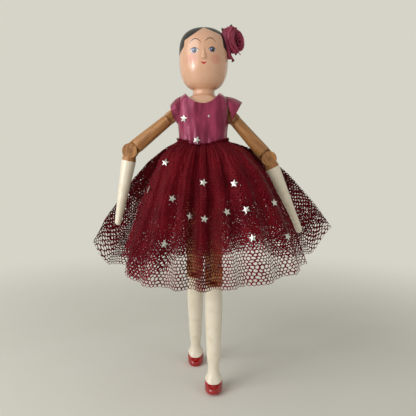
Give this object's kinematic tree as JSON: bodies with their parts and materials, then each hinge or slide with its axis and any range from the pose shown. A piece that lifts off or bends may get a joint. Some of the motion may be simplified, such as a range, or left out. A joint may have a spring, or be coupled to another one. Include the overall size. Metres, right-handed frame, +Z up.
{
  "type": "peg doll",
  "caption": "Jointed wooden peg doll in a stepping pose, with a painted face, satin bodice, star-strewn net skirt and a ribbon rose in the hair.",
  "frame": {"origin": "middle of the part's box, on the surface that the doll stands on", "axes": "+Z up, the doll faces -Y, its left side is +X"},
  "size_m": [0.2184, 0.128, 0.3078],
  "materials": {
    "painted_head": "glossy painted skin and hair",
    "bare_wood": "bare turned wood, waxed",
    "cream_paint": "cream gloss paint, red shoes",
    "satin": "rose satin",
    "rose_satin": "dusty rose satin ribbon",
    "net": "burgundy nylon net",
    "sequin": "silvered sequin",
    "leaf": "dark green stiffened cloth"
  },
  "bodies": {
    "torso": {"head_and_torso": "painted_head", "nose": "painted_head", "shoulder_peg_right": "bare_wood", "shoulder_peg_left": "bare_wood", "hip_peg": "bare_wood", "bodice_front": "satin", "bodice_back": "satin", "sleeve_right": "satin", "sleeve_left": "satin", "waist_tape": "satin", "underskirt_front_right": "net", "underskirt_front_left": "net", "underskirt_back_right": "net", "underskirt_back_left": "net", "skirt_front_right": "net", "skirt_front_left": "net", "skirt_back_right": "net", "skirt_back_left": "net", "bodice_stars": "sequin", "stars_front_right": "sequin", "stars_front_left": "sequin", "stars_back": "sequin", "rose_bud": "rose_satin", "rose_ribbon": "rose_satin", "rose_leaves": "leaf"},
    "upper_arm_right": {"upper_arm_right": "bare_wood"},
    "forearm_right": {"forearm_right": "cream_paint", "elbow_peg_right": "bare_wood"},
    "thigh_right": {"thigh_right": "bare_wood"},
    "lower_leg_right": {"lower_leg_right": "cream_paint", "knee_peg_right": "bare_wood"},
    "upper_arm_left": {"upper_arm_left": "bare_wood"},
    "forearm_left": {"forearm_left": "cream_paint", "elbow_peg_left": "bare_wood"},
    "thigh_left": {"thigh_left": "bare_wood"},
    "lower_leg_left": {"lower_leg_left": "cream_paint", "knee_peg_left": "bare_wood"}
  },
  "joints": [
    {"name": "shoulder_right", "type": "hinge", "parent": "torso", "child": "upper_arm_right", "pos_m": [-0.02385, -0.00443, 0.23947], "axis": [0, 1, 0], "range_deg": [-6, 59], "deforming": ["sleeve_right"]},
    {"name": "shoulder_left", "type": "hinge", "parent": "torso", "child": "upper_arm_left", "pos_m": [0.01015, -0.00443, 0.23947], "axis": [0, -1, 0], "range_deg": [-5, 67], "deforming": ["sleeve_left"]},
    {"name": "elbow_right", "type": "hinge", "parent": "upper_arm_right", "child": "forearm_right", "pos_m": [-0.06892, -0.00443, 0.20297], "axis": [0, -1, 0], "range_deg": [-40, 32]},
    {"name": "elbow_left", "type": "hinge", "parent": "upper_arm_left", "child": "forearm_left", "pos_m": [0.04896, -0.00443, 0.19637], "axis": [0, 1, 0], "range_deg": [-18, 40]},
    {"name": "hip_right", "type": "hinge", "parent": "torso", "child": "thigh_right", "pos_m": [-0.01465, -0.00443, 0.17107], "axis": [-1, 0, 0], "range_deg": [-4, 101], "deforming": ["skirt_front_right", "underskirt_front_right", "skirt_back_right", "underskirt_back_right", "stars_front_right", "stars_back"]},
    {"name": "hip_left", "type": "hinge", "parent": "torso", "child": "thigh_left", "pos_m": [0.00195, -0.00443, 0.17107], "axis": [-1, 0, 0], "range_deg": [-31, 73.8], "deforming": ["skirt_front_left", "underskirt_front_left", "skirt_back_left", "underskirt_back_left", "stars_front_left"]},
    {"name": "knee_right", "type": "hinge", "parent": "thigh_right", "child": "lower_leg_right", "pos_m": [-0.01465, 0.01095, 0.09869], "axis": [1, 0, 0], "range_deg": [0, 90]},
    {"name": "knee_left", "type": "hinge", "parent": "thigh_left", "child": "lower_leg_left", "pos_m": [0.00195, -0.02505, 0.1], "axis": [1, 0, 0], "range_deg": [-16.1, 73.8]}
  ]
}
